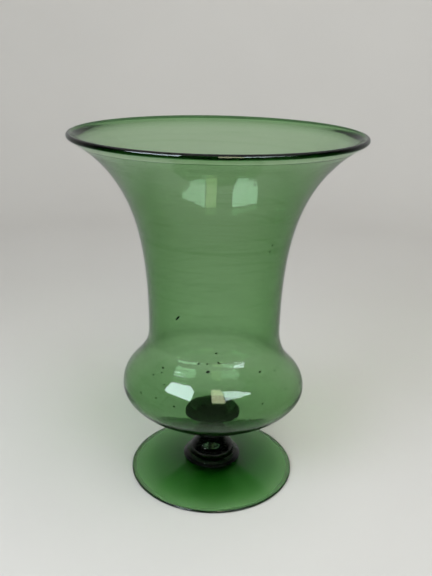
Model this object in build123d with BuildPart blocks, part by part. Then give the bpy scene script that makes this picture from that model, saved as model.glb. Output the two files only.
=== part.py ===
# Urn vase in pale green glass: a trumpet-mouthed bowl with a squat bulb, on a knopped stem and a disc foot.
# Millimetres, +Z up. The origin is on the axis, at the level of the table that the foot stands on.
# Every piece is turned about the axis, and each one is fused on a flat face to the piece below it.

import os
from math import cos, radians, sin

from build123d import *

# Foot: a thin disc, coned a little, that stands on a ring at its edge
FOOT_RADIUS = 72.5
FOOT_EDGE = 2.2  # thickness at the edge, which is rounded over
FOOT_STAND = 3.0  # width of the flat ring that touches the table
FOOT_HEIGHT = 9.7  # from the table to the face that the lower merese is fused to
FOOT_MIDDLE = 8.7  # thickness of the glass under that face
FOOT_JOINT_RADIUS = 16.0

# Lower merese: a flat button with a round edge
LOWER_MERESE_HEIGHT = 6.8
LOWER_MERESE_MIDDLE = 2.0  # height of its widest line above the foot
LOWER_MERESE_LIP = 6.0  # how far its edge stands out past the knop above it

# Stem: a ball knop that draws in to a neck, and flares again at the top
STEM_HEIGHT = 29.5
KNOP_RADIUS = 19.5
KNOP_MIDDLE = 1.0  # height of the knop's widest line above the merese
KNOP_TUCK = 0.6  # how far the knop turns in at the merese
NECK_RADIUS = 10.8
NECK_MIDDLE = 19.5  # height of the narrowest line above the merese
NECK_FLARE = 3.4  # how much wider the stem is at its top than at the neck

# Upper merese: a dished button that carries the bowl
UPPER_MERESE_HEIGHT = 12.0
UPPER_MERESE_EDGE = 3.6  # depth of its rounded edge, below the bowl
UPPER_MERESE_LIP = 7.3  # how far its edge stands out past the joint with the bowl

# Bowl: heights are each measured from the one before
BOWL_JOINT_RADIUS = 17.0
BULB_RADIUS = 78.2
BULB_DEPTH = 28.0  # from the joint up to the bulb's widest line
SHOULDER_HEIGHT = 51.5  # from there up to the waist
SHOULDER_FULLNESS = 23.2  # how long the bulb stays wide before it turns in
THROAT_LENGTH = 28.7  # how long the waist stays narrow below its middle
WAIST_RADIUS = 55.4
TRUMPET_HEIGHT = 158.5  # from the waist up to where the lip turns over
TRUMPET_STRAIGHT = 74.6  # how long the waist stays narrow above its middle
TRUMPET_SWEEP = 57.6  # how long the mouth holds its slope below the lip
MOUTH_RADIUS = 114.5  # of the outside, where the lip turns over
MOUTH_SLOPE = 59.3  # degrees from upright, at the lip

# Thickness of the bowl's glass, square to its outside
BOTTOM_WALL = 2.4
BULB_WALL = 1.7
WAIST_WALL = 2.2
MOUTH_WALL = 2.0  # where the lip starts
LIP_WALL = 4.3  # at the end of the lip, which is melted half round
LIP_LENGTH = 14.0  # over which the melted glass has gathered on the inside
WALL_STEPS = 10  # places along each stretch of the outside at which the wall is set off

# Levels of the fused faces
foot_top = FOOT_HEIGHT
lower_merese_top = foot_top + LOWER_MERESE_HEIGHT
stem_top = lower_merese_top + STEM_HEIGHT
bowl_bottom = stem_top + UPPER_MERESE_HEIGHT
bulb_level = bowl_bottom + BULB_DEPTH
waist_level = bulb_level + SHOULDER_HEIGHT
mouth_level = waist_level + TRUMPET_HEIGHT

# Radii that two pieces share, or that follow from a neighbour
knop_joint_radius = KNOP_RADIUS - KNOP_TUCK
lower_merese_radius = KNOP_RADIUS + LOWER_MERESE_LIP
stem_top_radius = NECK_RADIUS + NECK_FLARE
upper_merese_radius = BOWL_JOINT_RADIUS + UPPER_MERESE_LIP

os.makedirs("parts", exist_ok=True)

# Foot: the top rises in a hollow sweep to the stem, and the underside is dished clear of the table
with BuildPart() as foot:
    with BuildSketch(Plane.XZ):
        with BuildLine():
            edge_inside = FOOT_RADIUS - FOOT_EDGE / 2
            stand_inside = edge_inside - FOOT_STAND
            hollow = FOOT_HEIGHT - FOOT_MIDDLE
            Line((0, hollow), (0, foot_top))
            Line((0, foot_top), (FOOT_JOINT_RADIUS, foot_top))
            half_way = (FOOT_JOINT_RADIUS + edge_inside) / 2
            Bezier(
                (FOOT_JOINT_RADIUS, foot_top),
                (half_way, (FOOT_EDGE + foot_top) / 2 - FOOT_EDGE / 4),
                (edge_inside, FOOT_EDGE),
            )
            ThreePointArc(
                (edge_inside, FOOT_EDGE), (FOOT_RADIUS, FOOT_EDGE / 2), (edge_inside, 0)
            )
            Line((edge_inside, 0), (stand_inside, 0))
            Bezier((stand_inside, 0), (stand_inside / 2, hollow), (0, hollow))
        make_face()
    revolve(axis=Axis.Z)
foot.part.label = "foot"
export_step(foot.part, "parts/foot.step")

# Lower merese: flat where it is fused to the foot and to the knop, and half round at its edge
with BuildPart() as lower_merese:
    with BuildSketch(Plane.XZ):
        with BuildLine():
            widest = foot_top + LOWER_MERESE_MIDDLE
            Line((0, lower_merese_top), (0, foot_top))
            Line((0, foot_top), (FOOT_JOINT_RADIUS, foot_top))
            EllipticalCenterArc(
                (FOOT_JOINT_RADIUS, widest),
                lower_merese_radius - FOOT_JOINT_RADIUS,
                widest - foot_top,
                start_angle=270,
                arc_size=90,
            )
            EllipticalCenterArc(
                (knop_joint_radius, widest),
                lower_merese_radius - knop_joint_radius,
                lower_merese_top - widest,
                start_angle=0,
                arc_size=90,
            )
            Line((knop_joint_radius, lower_merese_top), (0, lower_merese_top))
        make_face()
    revolve(axis=Axis.Z)
lower_merese.part.label = "lower_merese"
export_step(lower_merese.part, "parts/lower_merese.step")

# Stem: the knop swells from its joint, draws in to the neck and flares to the upper merese
with BuildPart() as stem:
    with BuildSketch(Plane.XZ):
        with BuildLine():
            knop_level = lower_merese_top + KNOP_MIDDLE
            neck_level = lower_merese_top + NECK_MIDDLE
            draw = (neck_level - knop_level) / 2
            spread = (stem_top - neck_level) / 2
            Line((0, stem_top), (0, lower_merese_top))
            Line((0, lower_merese_top), (knop_joint_radius, lower_merese_top))
            EllipticalCenterArc(
                (knop_joint_radius, knop_level),
                KNOP_TUCK,
                KNOP_MIDDLE,
                start_angle=270,
                arc_size=90,
            )
            Bezier(
                (KNOP_RADIUS, knop_level),
                (KNOP_RADIUS, knop_level + draw),
                (NECK_RADIUS, neck_level - draw),
                (NECK_RADIUS, neck_level),
            )
            Bezier(
                (NECK_RADIUS, neck_level),
                (NECK_RADIUS, neck_level + spread),
                (stem_top_radius, stem_top),
            )
            Line((stem_top_radius, stem_top), (0, stem_top))
        make_face()
    revolve(axis=Axis.Z)
stem.part.label = "stem"
export_step(stem.part, "parts/stem.step")

# Upper merese: spreads from the top of the stem to a round edge just below the bowl
with BuildPart() as upper_merese:
    with BuildSketch(Plane.XZ):
        with BuildLine():
            edge_level = bowl_bottom - UPPER_MERESE_EDGE
            Line((0, bowl_bottom), (0, stem_top))
            Line((0, stem_top), (stem_top_radius, stem_top))
            Bezier(
                (stem_top_radius, stem_top),
                (upper_merese_radius, (stem_top + edge_level) / 2),
                (upper_merese_radius, edge_level),
            )
            EllipticalCenterArc(
                (BOWL_JOINT_RADIUS, edge_level),
                UPPER_MERESE_LIP,
                UPPER_MERESE_EDGE,
                start_angle=0,
                arc_size=90,
            )
            Line((BOWL_JOINT_RADIUS, bowl_bottom), (0, bowl_bottom))
        make_face()
    revolve(axis=Axis.Z)
upper_merese.part.label = "upper_merese"
export_step(upper_merese.part, "parts/upper_merese.step")

# Bowl: the outside is drawn first, from the joint up to the lip. The inside is set off square to it by the wall's
# thickness, which runs evenly from one named wall to the next along each stretch and swells along the lip.
slope = radians(MOUTH_SLOPE)
sweep_start = (
    MOUTH_RADIUS - TRUMPET_SWEEP * sin(slope),
    mouth_level - TRUMPET_SWEEP * cos(slope),
)
with BuildPart() as bowl:
    with BuildSketch(Plane.XZ):
        with BuildLine():
            bulb = EllipticalCenterArc(
                (BOWL_JOINT_RADIUS, bulb_level),
                BULB_RADIUS - BOWL_JOINT_RADIUS,
                BULB_DEPTH,
                start_angle=270,
                arc_size=90,
            )
            shoulder = Bezier(
                (BULB_RADIUS, bulb_level),
                (BULB_RADIUS, bulb_level + SHOULDER_FULLNESS),
                (WAIST_RADIUS, waist_level - THROAT_LENGTH),
                (WAIST_RADIUS, waist_level),
            )
            trumpet = Bezier(
                (WAIST_RADIUS, waist_level),
                (WAIST_RADIUS, waist_level + TRUMPET_STRAIGHT),
                sweep_start,
                (MOUTH_RADIUS, mouth_level),
            )
            lip_start = trumpet.length - LIP_LENGTH
            inside = []
            for stretch, start, end, wall_below, wall_above, swell in (
                (bulb, 0, bulb.length, BOTTOM_WALL, BULB_WALL, 1),
                (shoulder, 0, shoulder.length, BULB_WALL, WAIST_WALL, 1),
                (trumpet, 0, lip_start, WAIST_WALL, MOUTH_WALL, 1),
                (trumpet, lip_start, trumpet.length, MOUTH_WALL, LIP_WALL, 2),
            ):
                for step in range(WALL_STEPS):
                    share = step / WALL_STEPS
                    along = start + (end - start) * share
                    wall = wall_below + (wall_above - wall_below) * share**swell
                    place = stretch.position_at(along, PositionMode.LENGTH)
                    way = stretch.tangent_at(along, PositionMode.LENGTH)
                    inside.append(place + way.rotate(Axis.Z, 90) * wall)
            along_lip = trumpet % 1
            across_lip = along_lip.rotate(Axis.Z, 90)
            lip_round = LIP_WALL / 2
            lip_inside = trumpet @ 1 + across_lip * LIP_WALL
            lip_end = trumpet @ 1 + across_lip * lip_round + along_lip * lip_round
            Spline(*inside, lip_inside)
            Line((0, bowl_bottom), (BOWL_JOINT_RADIUS, bowl_bottom))
            Line((0, bowl_bottom), (0, bowl_bottom + BOTTOM_WALL))
            Line((0, bowl_bottom + BOTTOM_WALL), inside[0])
            ThreePointArc(lip_inside, lip_end, trumpet @ 1)
        make_face()
    revolve(axis=Axis.Z)
bowl.part.label = "bowl"
export_step(bowl.part, "parts/bowl.step")
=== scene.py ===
# Urn vase in green glass, dressed from the foot up: foot, lower merese, stem, upper merese and bowl.
# The paper sweep that it stands on, the lights and the camera come last.

from math import cos, pi, radians, sin

import bmesh
import bpy
import numpy as np
from mathutils import Matrix, Vector


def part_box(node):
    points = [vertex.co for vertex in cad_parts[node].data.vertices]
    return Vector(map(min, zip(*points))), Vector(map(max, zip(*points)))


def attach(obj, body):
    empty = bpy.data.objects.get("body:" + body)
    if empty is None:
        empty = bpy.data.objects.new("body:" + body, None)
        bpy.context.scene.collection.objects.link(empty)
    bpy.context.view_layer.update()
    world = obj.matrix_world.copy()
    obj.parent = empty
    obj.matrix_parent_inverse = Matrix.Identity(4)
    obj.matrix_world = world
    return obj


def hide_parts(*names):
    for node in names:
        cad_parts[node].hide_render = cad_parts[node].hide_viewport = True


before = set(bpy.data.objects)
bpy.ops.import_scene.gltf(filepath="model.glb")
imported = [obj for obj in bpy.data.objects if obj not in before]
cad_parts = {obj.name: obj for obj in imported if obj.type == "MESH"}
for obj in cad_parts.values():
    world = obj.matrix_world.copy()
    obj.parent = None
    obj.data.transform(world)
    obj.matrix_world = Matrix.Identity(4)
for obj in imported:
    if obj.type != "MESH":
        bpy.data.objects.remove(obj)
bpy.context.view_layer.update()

# Foot: a thin disc of green glass, spun out flat from its own gather and fused to the merese above it.
# It is dished underneath and stands on a narrow ring, which the table has rubbed dull.
mm = 0.001
IN_PLANE = 1e-7  # a point this close to the plane of an outline lies in it
PLACES = 6  # decimals of a metre at which two points are one
CORNER = radians(20)  # a sharper turn in an outline is left as a corner
LONGEST_STEP = 2.4 * mm  # between points along an outline
BEND_STEP = radians(5)  # and the most that the outline turns from one point to the next
FINE_POINTS = 30  # at which a curve is measured, for each point of the frame's outline
FOOT_SIDES = 144
FOOT_WOBBLE = 0.35 * mm  # how far the spun edge falls short of a true circle
ALL_ROUND = 0.5  # the share of a wobble that is the same all round
FOOT_WAVES = ((0.3, 2, 0.7), (0.2, 3, 2.1))  # the rest: share, waves in a turn, and start
FOOT_TRUE = 4  # power of the radius by which the wobble fades out towards the axis
STAND_WEAR = 0.05 * mm  # how far up the rubbed ring goes
FOOT_SHADE_WIDTH = 1.0 * mm  # width of the rim that is seen edge on, darkened by a painted shade


def half_section(node):
    """A turned piece's outline in the frame: points (radius, height) from its upper end on the axis
    to its lower one."""
    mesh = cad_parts[node].data
    in_plane = {}
    for v in mesh.vertices:
        if abs(v.co.y) < IN_PLANE and v.co.x > -IN_PLANE:
            in_plane[v.index] = (round(v.co.x, PLACES), round(v.co.z, PLACES))
    beside = {point: set() for point in in_plane.values()}
    for edge in mesh.edges:
        a, b = (in_plane.get(i) for i in edge.vertices)
        if a and b and a != b:
            beside[a].add(b)
            beside[b].add(a)
    ends = [point for point, others in beside.items() if len(others) == 1]
    line = [max(ends, key=lambda point: point[1])]
    while True:
        onward = [point for point in beside[line[-1]] if point not in line]
        if not onward:
            break
        line.append(onward[0])
    if line[0][0] > 0:
        line.insert(0, (0.0, line[0][1]))
    if line[-1][0] > 0:
        line.append((0.0, line[-1][1]))
    return np.array(line)


def curve_through(along, values, at):
    """A cubic curve through values that are known at the lengths along, read at other lengths."""
    gap = np.diff(along)
    count = len(along)
    rows = np.zeros((count, count))
    sides = np.zeros(count)
    rows[0, :2] = rows[-1, :-3:-1] = (1, -1)
    for i in range(1, count - 1):
        rows[i, i - 1 : i + 2] = (gap[i - 1], 2 * (gap[i - 1] + gap[i]), gap[i])
        slope = np.diff(values[i - 1 : i + 2]) / gap[i - 1 : i + 1]
        sides[i] = 6 * (slope[1] - slope[0])
    bend = np.linalg.solve(rows, sides)
    k = np.clip(np.searchsorted(along, at) - 1, 0, count - 2)
    before, after, g = at - along[k], along[k + 1] - at, gap[k]
    cubic = (bend[k] * after**3 + bend[k + 1] * before**3) / (6 * g)
    from_before = (values[k] / g - bend[k] * g / 6) * after
    from_after = (values[k + 1] / g - bend[k + 1] * g / 6) * before
    return cubic + from_before + from_after


def faired(line):
    """The outline as smooth curves between its corners, with points closer together where it bends."""
    legs = np.diff(line, axis=0)
    turn = np.abs(np.diff(np.unwrap(np.arctan2(legs[:, 1], legs[:, 0]))))
    corners = [0, *(np.nonzero(turn > CORNER)[0] + 1), len(line) - 1]
    drawn = [line[:1]]
    for start, end in zip(corners, corners[1:]):
        run = line[start : end + 1]
        if len(run) == 2:
            drawn.append(run[1:])
            continue
        along = np.concatenate([[0], np.cumsum(np.linalg.norm(np.diff(run, axis=0), axis=1))])
        fine = np.linspace(0, along[-1], FINE_POINTS * len(run))
        curve = np.stack([curve_through(along, run[:, k], fine) for k in (0, 1)], axis=1)
        steps = np.diff(curve, axis=0)
        way = np.unwrap(np.arctan2(steps[:, 1], steps[:, 0]))
        bends = np.abs(np.diff(way, prepend=way[0]))
        need = np.maximum(np.linalg.norm(steps, axis=1) / LONGEST_STEP, bends / BEND_STEP)
        need = np.concatenate([[0], np.cumsum(need)])
        at = np.interp(np.linspace(0, need[-1], int(np.ceil(need[-1])) + 1), need, fine)
        drawn.append(np.stack([curve_through(along, run[:, k], at[1:]) for k in (0, 1)], axis=1))
    return np.concatenate(drawn)


def placed(name, data):
    """A new object, put in the scene."""
    thing = bpy.data.objects.new(name, data)
    bpy.context.scene.collection.objects.link(thing)
    return thing


def turned(name, line, hand, sides):
    """A closed mesh turned from an outline. hand(angle, radius, height) says where the maker's hand
    left each point."""
    angle = np.arange(sides) * 2 * pi / sides
    radius, height = (np.repeat(line[1:-1, k : k + 1], sides, axis=1) for k in (0, 1))
    radius, height = hand(angle[None, :], radius, height)
    rings = np.stack([radius * np.cos(angle), radius * np.sin(angle), height], axis=-1)
    count = len(rings)
    points = [(0, 0, line[0, 1]), *rings.reshape(-1, 3), (0, 0, line[-1, 1])]
    faces = []
    for i in range(sides):
        j = (i + 1) % sides
        faces.append((0, 1 + i, 1 + j))
        for ring in range(count - 1):
            low, high = 1 + ring * sides, 1 + (ring + 1) * sides
            faces.append((low + i, high + i, high + j, low + j))
        last = 1 + (count - 1) * sides
        faces.append((last + i, len(points) - 1, last + j))
    mesh = bpy.data.meshes.new(name)
    mesh.from_pydata(points, [], faces)
    shell = bmesh.new()
    shell.from_mesh(mesh)
    bmesh.ops.recalc_face_normals(shell, faces=shell.faces)
    shell.to_mesh(mesh)
    shell.free()
    mesh.shade_smooth()
    mesh.set_sharp_from_angle(angle=CORNER)
    return placed(name, mesh)


def add_node(tree, kind, inputs=(), **settings):
    """A new node with its settings, and with each input linked to a socket or set to a value."""
    node = tree.nodes.new(kind)
    for name, value in settings.items():
        setattr(node, name, value)
    for name, value in dict(inputs).items():
        if isinstance(value, bpy.types.NodeSocket):
            tree.links.new(value, node.inputs[name])
        else:
            node.inputs[name].default_value = value
    return node


def maths(tree, operation, a, b=0.0):
    """What comes of an operation on one number, or on two."""
    return add_node(tree, "ShaderNodeMath", {0: a, 1: b}, operation=operation).outputs[0]


def ramp(tree, value, start, end, at_start=0.0, at_end=1.0):
    """A number that goes from at_start to at_end while the value goes from start to end."""
    ends = {"From Min": start, "From Max": end, "To Min": at_start, "To Max": at_end}
    return add_node(tree, "ShaderNodeMapRange", {"Value": value, **ends}).outputs["Result"]


def blended(tree, share, start, end):
    """A colour that goes from start to end as the share goes from nought to one."""
    mix = add_node(tree, "ShaderNodeMix", {"Factor": share, "A": start, "B": end}, data_type="RGBA")
    return mix.outputs["Result"]


def from_axis(tree, place):
    """How far a place is from the upright axis."""
    flat = add_node(tree, "ShaderNodeVectorMath", {0: place, 1: (1, 1, 0)}, operation="MULTIPLY")
    length = add_node(tree, "ShaderNodeVectorMath", {0: flat.outputs["Vector"]}, operation="LENGTH")
    return length.outputs["Value"]


def new_group(name, takes, gives):
    """A node group of plain numbers, with the sockets that it takes and gives them by."""
    group = bpy.data.node_groups.new(name, "ShaderNodeTree")
    for socket, value in takes.items():
        taken = group.interface.new_socket(socket, in_out="INPUT", socket_type="NodeSocketFloat")
        taken.default_value = value
    for socket in gives:
        group.interface.new_socket(socket, in_out="OUTPUT", socket_type="NodeSocketFloat")
    taking = add_node(group, "NodeGroupInput").outputs
    giving = add_node(group, "NodeGroupOutput").inputs
    return group, taking, giving


NOISE_MIDDLE = 0.5  # a cord runs wherever its noise has this value


def drawn_marks():
    """Marks of glass drawn and turned while soft: shallow rings round the axis, and a few fine cords."""
    group, takes, gives = new_group(
        "drawn_marks", {"Rings": 90.0, "Round": 9.0, "Cord width": 0.02}, ("Height", "Cord")
    )
    place = add_node(group, "ShaderNodeTexCoord").outputs["Object"]
    stretch = add_node(
        group,
        "ShaderNodeCombineXYZ",
        {"X": takes["Round"], "Y": takes["Round"], "Z": takes["Rings"]},
    )
    laid = add_node(
        group, "ShaderNodeVectorMath", {0: place, 1: stretch.outputs["Vector"]}, operation="MULTIPLY"
    ).outputs["Vector"]
    rings = add_node(
        group,
        "ShaderNodeTexNoise",
        {"Vector": laid, "Scale": 1.0, "Detail": 2.0, "Roughness": 0.45},
    )
    cords = add_node(
        group,
        "ShaderNodeTexNoise",
        {"Vector": laid, "Scale": 0.35, "Detail": 1.0, "Distortion": 0.6},
    )
    off = maths(group, "ABSOLUTE", maths(group, "SUBTRACT", cords.outputs["Fac"], NOISE_MIDDLE))
    cord = ramp(group, off, 0.0, takes["Cord width"], at_start=1.0, at_end=0.0)
    group.links.new(rings.outputs["Fac"], gives["Height"])
    group.links.new(cord, gives["Cord"])
    return group


SMEAR_NOISE = (0.45, 0.75)  # values of the noise at which a smear starts and is full
DUST_REACH = (0.05, 0.12)  # of a cell, out to which a speck of dust is full and ends


def wiped_film():
    """What a wiped and handled surface keeps: broad faint smears and specks of dust."""
    group, takes, gives = new_group("wiped_film", {"Smears": 28.0, "Dust": 420.0}, ("Smear", "Speck"))
    place = add_node(group, "ShaderNodeTexCoord").outputs["Object"]
    smears = add_node(
        group,
        "ShaderNodeTexNoise",
        {"Vector": place, "Scale": takes["Smears"], "Detail": 4.0, "Roughness": 0.6, "Distortion": 0.8},
    )
    dust = add_node(group, "ShaderNodeTexVoronoi", {"Vector": place, "Scale": takes["Dust"]})
    smear = ramp(group, smears.outputs["Fac"], *SMEAR_NOISE)
    speck = ramp(group, dust.outputs["Distance"], *DUST_REACH, at_start=1.0, at_end=0.0)
    group.links.new(smear, gives["Smear"])
    group.links.new(speck, gives["Speck"])
    return group


DRAWN_MARKS = drawn_marks()
WIPED_FILM = wiped_film()
CLEAR = (1, 1, 1)
GLASS_BEND = 1.51  # refractive index of soda-lime glass
GLASS_DEPTH = 400.0  # absorption per metre of a colour that the glass stops altogether
GLASS_TINT = (0.29, 0.65, 0.215)  # the share of each colour that the same depth lets by
CORD_TINT = (0.92, 0.96, 0.905)  # what a cord, which is denser than the glass round it, lets by
PAINTED_EDGE_SHADE = (0.1, 0.22, 0.1)  # painted shade: a dark tint standing in for the black line of an edge seen along the glass
PAINTED_SHADE_FADE = 0.4 * mm  # over which the painted shade sets in
FILM_ROUGHNESS = 0.03
WORN_ROUGHNESS = 0.4


def new_material(name):
    """A material and its nodes."""
    material = bpy.data.materials.new(name)
    material.use_nodes = True
    return material, material.node_tree


def green_glass(name, rings, ring_depth, worn_below=None, edge=None):
    """Clear green glass: its rings a metre along the axis and their depth, the height below which
    the table has worn it, and the radius past which its colour is darkened to a painted shade, where an edge
    seen edge on looks dark."""
    glass, tree = new_material(name)
    shader = tree.nodes["Principled BSDF"]
    marks = add_node(tree, "ShaderNodeGroup", node_tree=DRAWN_MARKS)
    marks.inputs["Rings"].default_value = rings
    film = add_node(tree, "ShaderNodeGroup", node_tree=WIPED_FILM)
    place = add_node(tree, "ShaderNodeTexCoord").outputs["Object"]
    colour = blended(tree, marks.outputs["Cord"], (*CLEAR, 1), (*CORD_TINT, 1))
    # Towards the edge the colour is darkened to a painted shade, for the black line that an edge shows.
    if edge is not None:
        painted_edge_shade = ramp(tree, from_axis(tree, place), edge - PAINTED_SHADE_FADE, edge)
        colour = blended(tree, painted_edge_shade, colour, (*PAINTED_EDGE_SHADE, 1))
    haze = maths(tree, "ADD", film.outputs["Smear"], film.outputs["Speck"])
    rough = maths(tree, "MULTIPLY", haze, FILM_ROUGHNESS)
    if worn_below is not None:
        height = add_node(tree, "ShaderNodeSeparateXYZ", {0: place}).outputs["Z"]
        worn = ramp(tree, height, 0.0, worn_below, at_start=WORN_ROUGHNESS, at_end=0.0)
        rough = maths(tree, "MAXIMUM", rough, worn)
    bump = add_node(
        tree, "ShaderNodeBump", {"Height": marks.outputs["Height"], "Strength": 1.0, "Distance": ring_depth}
    )
    tree.links.new(colour, shader.inputs["Base Color"])
    tree.links.new(rough, shader.inputs["Roughness"])
    tree.links.new(bump.outputs["Normal"], shader.inputs["Normal"])
    shader.inputs["Transmission Weight"].default_value = 1.0
    shader.inputs["IOR"].default_value = GLASS_BEND
    body = add_node(
        tree, "ShaderNodeVolumeAbsorption", {"Color": (*GLASS_TINT, 1), "Density": GLASS_DEPTH}
    )
    tree.links.new(body.outputs["Volume"], tree.nodes["Material Output"].inputs["Volume"])
    return glass


def fused_piece(node, hand, sides, glass, lift=0.0):
    """The glass piece that stands for a node, raised by a hair where it would share a face with the
    piece below."""
    line = faired(half_section(node))
    line[:, 1] = np.maximum(line[:, 1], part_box(node)[0][2] + lift)
    piece = turned(node + "_glass", line, hand, sides)
    piece.data.materials.append(glass)
    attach(piece, "root")
    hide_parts(node)
    return piece


def waved(angle, waves):
    """The sum of waves round a piece, each with its share, how many make a turn, and its start."""
    return sum(share * np.sin(count * angle + start) for share, count, start in waves)


def spun_out(angle, radius, height):
    """The foot's edge, a little short of round where it was spun slower."""
    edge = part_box("foot")[1][0]
    short = FOOT_WOBBLE * (ALL_ROUND + waved(angle, FOOT_WAVES))
    return radius - short * (radius / edge) ** FOOT_TRUE, height


# The foot's rim is darkened by a painted shade.
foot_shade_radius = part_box("foot")[1][0] - FOOT_SHADE_WIDTH
foot_glass = green_glass(
    "foot_glass", rings=25.0, ring_depth=0.04 * mm, worn_below=STAND_WEAR, edge=foot_shade_radius
)
fused_piece("foot", spun_out, FOOT_SIDES, foot_glass)

# Lower merese: a flat button of the same glass, dropped on hot and pressed to a round blade.
# It joins the foot to the stem and is fused to both.
HAIR = 0.01 * mm  # between fused pieces, so that no two faces lie in one plane
STEM_SIDES = 96
TOOL_WOBBLE = 0.2 * mm
TOOL_TRUE = 2  # power of the radius by which the wobble fades out towards the axis


def tooled(start):
    """The wobble that a wooden tool leaves in a small turned piece, fading out towards its axis."""
    waves = ((0.35, 2, start), (0.15, 5, 3 * start))

    def hand(angle, radius, height):
        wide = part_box("lower_merese")[1][0]
        short = TOOL_WOBBLE * (ALL_ROUND + waved(angle, waves))
        return radius - short * (radius / wide) ** TOOL_TRUE, height

    return hand


stem_glass = green_glass("stem_glass", rings=120.0, ring_depth=0.03 * mm)
stem_pieces = [fused_piece("lower_merese", tooled(start=0.4), STEM_SIDES, stem_glass, HAIR)]

# Stem: one solid gather of the glass, with a ball knop below and a narrow neck drawn out of it.
# It stands on the lower merese and flares again to carry the upper one.
stem_pieces.append(fused_piece("stem", tooled(start=1.9), STEM_SIDES, stem_glass, HAIR))

# Upper merese: a button dished by the weight of the bowl that was set on it.
# It is fused to the top of the stem and to the bottom of the bowl.
stem_pieces.append(fused_piece("upper_merese", tooled(start=3.2), STEM_SIDES, stem_glass, HAIR))

# Bowl: one bubble of glass with a few burnt grains in it, blown and swung out into bulb, waist and
# trumpet mouth. Its lip is melted round in the fire, and its joint is fused to the upper merese.
# It came out askew: at the front the shoulder is higher and the throat tighter.
BOWL_SIDES = 168
SHOULDER = (114 * mm, 52 * mm, 20 * mm)  # where it is most askew, and how far below and above it is true
FRONT_UP = 6.0 * mm  # raised at the front and lowered at the back
RIGHT_DOWN = 2.0 * mm
SADDLE = 0.6 * mm  # raised at front and back, and lowered at the sides
THROAT = (135 * mm, 11 * mm, 22 * mm)
THROAT_DOWN = 3.3 * mm  # at the front
TRUMPET = (250 * mm, 28 * mm, 28 * mm)
TRUMPET_SWELL = 1.3 * mm  # outwards, at the back
RIPPLE = 0.16 * mm  # of the wall, in and out
RIPPLE_WAVES = ((0.4, 3, 9, 0), (0.3, 5, -14, 1.3), (0.3, 2, 23, 0.6))  # share, waves in a turn, climb, start
JOINT_TRUE = 0.08  # share of the height, above the joint, over which the ripples set in
LIP_TRUE = 0.1  # share of the height, below the lip, over which they die out
LIP_SHORT = 0.3 * mm  # how far the melted lip falls short of a true circle
LIP_ALL_ROUND = 0.6  # the share of that which is the same all round
LIP_WAVES = ((0.3, 2, 0.5), (0.2, 3, 0))
LIP_SAG = 0.25  # how far the lip sank for each length that it falls short
LIP_SHADE_WIDTH = 0.7 * mm  # width of the lip that is seen edge on, darkened by a painted shade
FRONT = -90  # degrees round the axis from +X
SPECK_DARK = (0.004, 0.008, 0.004)
SPECK_PALE = (0.02, 0.03, 0.015)
SPECK_SHARE = 0.5  # of the wall's thickness that a speck may take up
WALL_REACH = 0.5  # mm up and down from a speck, over which the wall's slope is taken


def near(height, level, below, above):
    """One at a level, fading to nothing at the given distances below and above it."""
    away = np.where(height < level, (height - level) / below, (height - level) / above)
    return np.cos(np.clip(away, -1, 1) * pi / 2) ** 2


def blown(angle, radius, height):
    """The bowl as it was blown: askew, with slow ripples that fade out at the joint and the lip."""
    low, high = (corner[2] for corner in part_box("bowl"))
    front = np.clip(-np.sin(angle), 0, 1)
    back = np.clip(np.sin(angle), 0, 1)
    rise = -FRONT_UP * np.sin(angle) - RIGHT_DOWN * np.cos(angle) - SADDLE * np.cos(2 * angle)
    lift = rise * near(height, *SHOULDER) - THROAT_DOWN * front * near(height, *THROAT)
    swell = TRUMPET_SWELL * back**2 * near(height, *TRUMPET)
    up = (height - low) / (high - low)
    off_joint = np.clip(up / JOINT_TRUE, 0, 1)
    off_lip = np.clip((1 - up) / LIP_TRUE, 0, 1)
    climbing = [(share, count, climb * up + start) for share, count, climb, start in RIPPLE_WAVES]
    ripple = RIPPLE * off_joint * off_lip * waved(angle, climbing)
    short = LIP_SHORT * (LIP_ALL_ROUND + waved(angle, LIP_WAVES)) * (1 - off_lip)
    return radius + swell + ripple - short, height + lift - LIP_SAG * short


def speck_material():
    """A grain burnt nearly black, rough and dull."""
    speck, tree = new_material("burnt_speck")
    shader = tree.nodes["Principled BSDF"]
    place = add_node(tree, "ShaderNodeTexCoord").outputs["Object"]
    noise = add_node(tree, "ShaderNodeTexNoise", {"Vector": place, "Scale": 1500.0, "Detail": 3.0})
    grain = noise.outputs["Fac"]
    tone = blended(tree, grain, (*SPECK_DARK, 1), (*SPECK_PALE, 1))
    bump = add_node(tree, "ShaderNodeBump", {"Height": grain, "Strength": 0.5, "Distance": 0.1 * mm})
    tree.links.new(tone, shader.inputs["Base Color"])
    tree.links.new(bump.outputs["Normal"], shader.inputs["Normal"])
    shader.inputs["Roughness"].default_value = 0.8
    return speck


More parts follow.
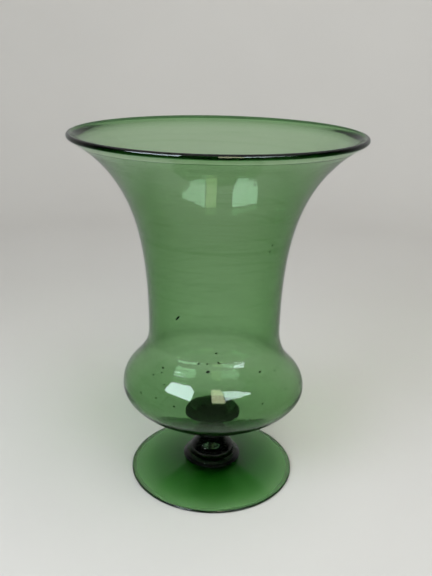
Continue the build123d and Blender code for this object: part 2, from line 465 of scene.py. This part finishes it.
def specks_in_wall(name, places):
    """Grains burnt into the glass, each held in the middle of the bowl's wall."""
    line = half_section("bowl")
    lip = np.argmax(line[:, 1])
    shell = bmesh.new()
    for turn, height, length, width, tilt in places:
        angle = radians(FRONT + turn)
        levels = np.array([height - WALL_REACH, height, height + WALL_REACH]) * mm
        inside = np.interp(levels, line[: lip + 1, 1], line[: lip + 1, 0])
        outside = np.interp(levels, line[lip:, 1][::-1], line[lip:, 0][::-1])
        radius, level = blown(angle, (inside + outside) / 2, levels)
        spots = [Vector((r * cos(angle), r * sin(angle), z)) for r, z in zip(radius, level)]
        up = (spots[2] - spots[0]).normalized()
        across = Vector((-sin(angle), cos(angle), 0))
        out = across.cross(up)
        deep = min(width * mm, SPECK_SHARE * (outside[1] - inside[1]) * abs(up.z))
        lean = radians(tilt)
        along = cos(lean) * across + sin(lean) * up
        beside = cos(lean) * up - sin(lean) * across
        half_sizes = (along * length * mm / 2, beside * width * mm / 2, out * deep / 2)
        grown = Matrix.Translation(spots[1]) @ Matrix(half_sizes).transposed().to_4x4()
        bmesh.ops.create_icosphere(shell, subdivisions=2, radius=1, matrix=grown)
    mesh = bpy.data.meshes.new(name)
    shell.to_mesh(mesh)
    shell.free()
    mesh.shade_smooth()
    mesh.materials.append(speck_material())
    piece = placed(name, mesh)
    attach(piece, "root")


specks_in_wall(
    "bowl_specks",
    [  # degrees to the right of the front, height, length and width in mm, and degrees of lean
        (-31, 163, 6.0, 1.7, 50),
        (42, 223, 2.2, 1.2, 60),
        (41, 218, 1.8, 1.1, 20),
        (2, 140, 1.9, 1.4, 10),
        (-40, 114, 2.3, 1.5, -20),
        (-4, 117, 3.3, 2.0, 15),
        (37, 115, 2.4, 1.5, 30),
        (53, 100, 1.6, 1.2, 0),
        (-49, 95, 2.6, 1.2, -50),
        (-36, 96, 2.0, 1.2, 15),
        (4, 131, 1.7, 1.3, 0),
        (-12, 125, 1.5, 1.1, 30),
        (-5, 126, 1.5, 1.0, 0),
        (-45, 108, 1.9, 1.1, 20),
        (-39, 111, 1.5, 1.1, 0),
        (-23, 94, 2.0, 1.2, -15),
        (31, 96, 1.6, 1.1, 10),
        (52, 113, 1.4, 1.1, 0),
        (-33, 105, 1.6, 1.0, 25),
        (5, 128, 1.4, 1.1, 0),
    ],
)
# The lip's rim is darkened by a painted shade.
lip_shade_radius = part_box("bowl")[1][0] - LIP_SHADE_WIDTH
bowl_glass = green_glass("bowl_glass", rings=300.0, ring_depth=0.07 * mm, edge=lip_shade_radius)
fused_piece("bowl", blown, BOWL_SIDES, bowl_glass, HAIR)

# Paper sweep: a wide sheet of pale grey paper, flat under the vase and curved up all round it.
# The glass mirrors the sheet close round its foot and behind it, and finds the rest of the room dark.
PAPER_GREY = (0.62, 0.60, 0.567)
PAPER_CLOUDS = (0.97, 1.03)  # shares of that grey between which its tone drifts
PAPER_NEAR = (0.08, 0.28)  # radii between which the flat sheet stops mirroring
PAPER_BEHIND = (0.05, 0.8)  # cosines of the turns from straight behind, between which it starts
PAPER_DARK = (0.02, 0.02, 0.02)  # of the paper that doesn't mirror, as the glass mirrors it
PAPER_FLAT = 0.9  # radius of the flat sheet
PAPER_BEND = 0.6  # radius of the curve that it turns up in
PAPER_HIGH = 1.5
PAPER_BELOW = 0.2 * mm  # clear of the foot
PAPER_SIDES = 144
PAPER_STEPS = 20  # along the curve


def paper_material():
    """Pale paper with fine fibre. Where it doesn't mirror, light that bounced off the glass finds it
    dark."""
    paper, tree = new_material("pale_paper")
    shader = tree.nodes["Principled BSDF"]
    place = add_node(tree, "ShaderNodeTexCoord").outputs["Object"]
    fibre = add_node(tree, "ShaderNodeTexNoise", {"Vector": place, "Scale": 900.0, "Detail": 3.0})
    cloud = add_node(tree, "ShaderNodeTexNoise", {"Vector": place, "Scale": 3.0, "Detail": 2.0})
    darker, lighter = ((*(share * c for c in PAPER_GREY), 1) for share in PAPER_CLOUDS)
    tone = blended(tree, cloud.outputs["Fac"], darker, lighter)
    bump = add_node(
        tree, "ShaderNodeBump", {"Height": fibre.outputs["Fac"], "Strength": 0.2, "Distance": 0.1 * mm}
    )
    tree.links.new(tone, shader.inputs["Base Color"])
    tree.links.new(bump.outputs["Normal"], shader.inputs["Normal"])
    shader.inputs["Roughness"].default_value = 0.9
    shader.inputs["Specular IOR Level"].default_value = 0.1
    away = from_axis(tree, place)
    back = add_node(tree, "ShaderNodeSeparateXYZ", {0: place}).outputs["Y"]
    far = ramp(tree, away, *PAPER_NEAR)
    in_front = ramp(tree, maths(tree, "DIVIDE", back, away), *PAPER_BEHIND, at_start=1.0, at_end=0.0)
    unseen = maths(tree, "MINIMUM", far, in_front)
    bounces = add_node(tree, "ShaderNodeLightPath").outputs["Glossy Depth"]
    share = maths(tree, "MULTIPLY", maths(tree, "MINIMUM", bounces, 1.0), unseen)
    dark = add_node(tree, "ShaderNodeBsdfDiffuse", {"Color": (*PAPER_DARK, 1)}).outputs["BSDF"]
    seen = add_node(tree, "ShaderNodeMixShader", {"Fac": share, 1: shader.outputs["BSDF"], 2: dark})
    tree.links.new(seen.outputs["Shader"], tree.nodes["Material Output"].inputs["Surface"])
    return paper


quarter = [pi / 2 * i / PAPER_STEPS for i in range(PAPER_STEPS + 1)]
bend = [(PAPER_FLAT + PAPER_BEND * sin(a), PAPER_BEND * (1 - cos(a)) - PAPER_BELOW) for a in quarter]
sweep = [(0.0, -PAPER_BELOW), *bend, (PAPER_FLAT + PAPER_BEND, PAPER_HIGH)]
count = len(sweep)
points, faces = [], []
for i in range(PAPER_SIDES):
    a = 2 * pi * i / PAPER_SIDES
    points += [(r * cos(a), r * sin(a), z) for r, z in sweep]
    for k in range(count - 1):
        here, there = i * count + k, (i + 1) % PAPER_SIDES * count + k
        faces.append((here + 1, there + 1, there, here))
sheet = bpy.data.meshes.new("paper_sweep")
sheet.from_pydata(points, [], faces)
sheet.shade_smooth()
sheet.materials.append(paper_material())
paper = placed("paper_sweep", sheet)

# Lights: daylight from two windows beside the camera with a blind between them, and two soft lamps above.
# Each window is drawn as the vase sees it: its lower and upper edge, at turns to the right of the camera.
# The photo's stem mirrors none of them, so they leave out the stem and the two mereses.
WINDOW_AWAY = 1.05
CURTAIN = 0.68  # how much of a window's light reaches the paper
INNER_GLOW = 0.12  # how much of a window is mirrored deep inside the glass
THROUGH = 5.0  # surfaces that light goes through before it is that dim

unlit = bpy.data.collections.new("out_of_the_windows")
for piece in stem_pieces:
    unlit.objects.link(piece)
for item in unlit.collection_objects:
    item.light_linking.link_state = "EXCLUDE"


def window(name, edges, glow, colour):
    """A pane of light that the camera doesn't see, from its edges: a turn, a low and a high end each."""
    light, tree = new_material(name)
    path = add_node(tree, "ShaderNodeLightPath").outputs
    mirrored = ramp(tree, path["Transmission Depth"], 0.0, THROUGH, glow, glow * INNER_GLOW)
    strength = ramp(tree, path["Glossy Depth"], 0.0, 1.0, glow * CURTAIN, mirrored)
    pane = add_node(tree, "ShaderNodeEmission", {"Color": (*colour, 1), "Strength": strength})
    tree.links.new(pane.outputs["Emission"], tree.nodes["Material Output"].inputs["Surface"])
    points, faces = [], []
    for turn, low, high in edges:
        a = radians(turn)
        points += [(WINDOW_AWAY * sin(a), -WINDOW_AWAY * cos(a), z) for z in (low, high)]
    for at in range(0, len(points) - 2, 2):
        faces.append((at, at + 1, at + 3, at + 2))
    mesh = bpy.data.meshes.new(name)
    mesh.from_pydata(points, [], faces)
    mesh.materials.append(light)
    card = placed(name, mesh)
    card.visible_camera = False
    card.light_linking.receiver_collection = unlit


window(
    "window_left",
    [
        (-67, 0.60, 0.92),
        (-59, 0.56, 1.0),
        (-50, 0.55, 1.08),
        (-42, 0.54, 1.13),
        (-34, 0.49, 1.16),
        (-26, 0.45, 1.05),
    ],
    glow=10.5,
    colour=(0.90, 1.0, 1.15),
)
window(
    "window_blind",
    [(0.5, 0.46, 1.25), (9, 0.455, 1.25), (17.5, 0.45, 1.245)],
    glow=5.6,
    colour=(1.04, 1.0, 0.72),
)
window(
    "window_right",
    [(18.5, 0.64, 1.2), (30, 0.71, 1.13), (43, 0.76, 1.05), (52, 0.78, 0.93), (58, 0.80, 0.83)],
    glow=8.0,
    colour=(0.90, 1.0, 1.12),
)


def soft_lamp(name, place, aim, size, watts):
    """A wide soft lamp that lights the paper and isn't mirrored in the glass."""
    light = bpy.data.lights.new(name, "AREA")
    light.shape = "RECTANGLE"
    light.size, light.size_y = size
    light.energy = watts
    light.use_nodes = True
    tree = light.node_tree
    bounces = add_node(tree, "ShaderNodeLightPath").outputs["Glossy Depth"]
    direct = maths(tree, "LESS_THAN", bounces, 1.0)
    tree.links.new(direct, tree.nodes["Emission"].inputs["Strength"])
    lamp = placed(name, light)
    lamp.location = place
    lamp.rotation_mode = "QUATERNION"
    lamp.rotation_quaternion = (Vector(aim) - Vector(place)).to_track_quat("-Z", "Y")
    lamp.visible_camera = False


soft_lamp("overhead", place=(0.2, 0.8, 1.3), aim=(0.3, 1.5, 0.35), size=(1.2, 0.6), watts=3.6)
soft_lamp("front_fill", place=(0.25, -0.4, 1.4), aim=(0, -0.25, 0), size=(0.8, 0.8), watts=9.5)

ROOM_LIGHT = 0.04
CEILING = 0.45  # as the glass mirrors it
world = bpy.data.worlds.new("dim_room")
world.use_nodes = True
room = world.node_tree
bounces = add_node(room, "ShaderNodeLightPath").outputs["Glossy Depth"]
shown = ramp(room, bounces, 0.0, 1.0, ROOM_LIGHT, CEILING)
room.links.new(shown, room.nodes["Background"].inputs["Strength"])
room.nodes["Background"].inputs["Color"].default_value = (1, 1, 1, 1)
bpy.context.scene.world = world

# Camera: a hand-held camera a little above the lip, a touch over half a metre from the vase and tipped
# slightly. Light is followed through many layers of glass.
PICTURE_HIGH = 576
FILM_HIGH = 36
FOCAL_PIXELS = 679.13
CAMERA_PLACE = Vector((0, -0.5325, 0.3663))
PITCH, ROLL, YAW = 0.3513, 0.0206, 0.0016
BOUNCES = 32

forward = Vector((sin(YAW) * cos(PITCH), cos(YAW) * cos(PITCH), -sin(PITCH)))
level = Vector((cos(YAW), -sin(YAW), 0))
upward = level.cross(forward)
across = cos(ROLL) * level + sin(ROLL) * upward
film_up = cos(ROLL) * upward - sin(ROLL) * level
camera = bpy.data.cameras.new("camera")
camera.sensor_width = FILM_HIGH
camera.lens = FOCAL_PIXELS / PICTURE_HIGH * FILM_HIGH
eye = placed("camera", camera)
facing = Matrix((across, film_up, -forward)).transposed().to_4x4()
eye.matrix_world = Matrix.Translation(CAMERA_PLACE) @ facing
bpy.context.scene.camera = eye
bpy.context.scene.view_settings.view_transform = "Standard"
bpy.context.scene.cycles.blur_glossy = 0.0
bpy.context.scene.cycles.max_bounces = BOUNCES
bpy.context.scene.cycles.transmission_bounces = BOUNCES
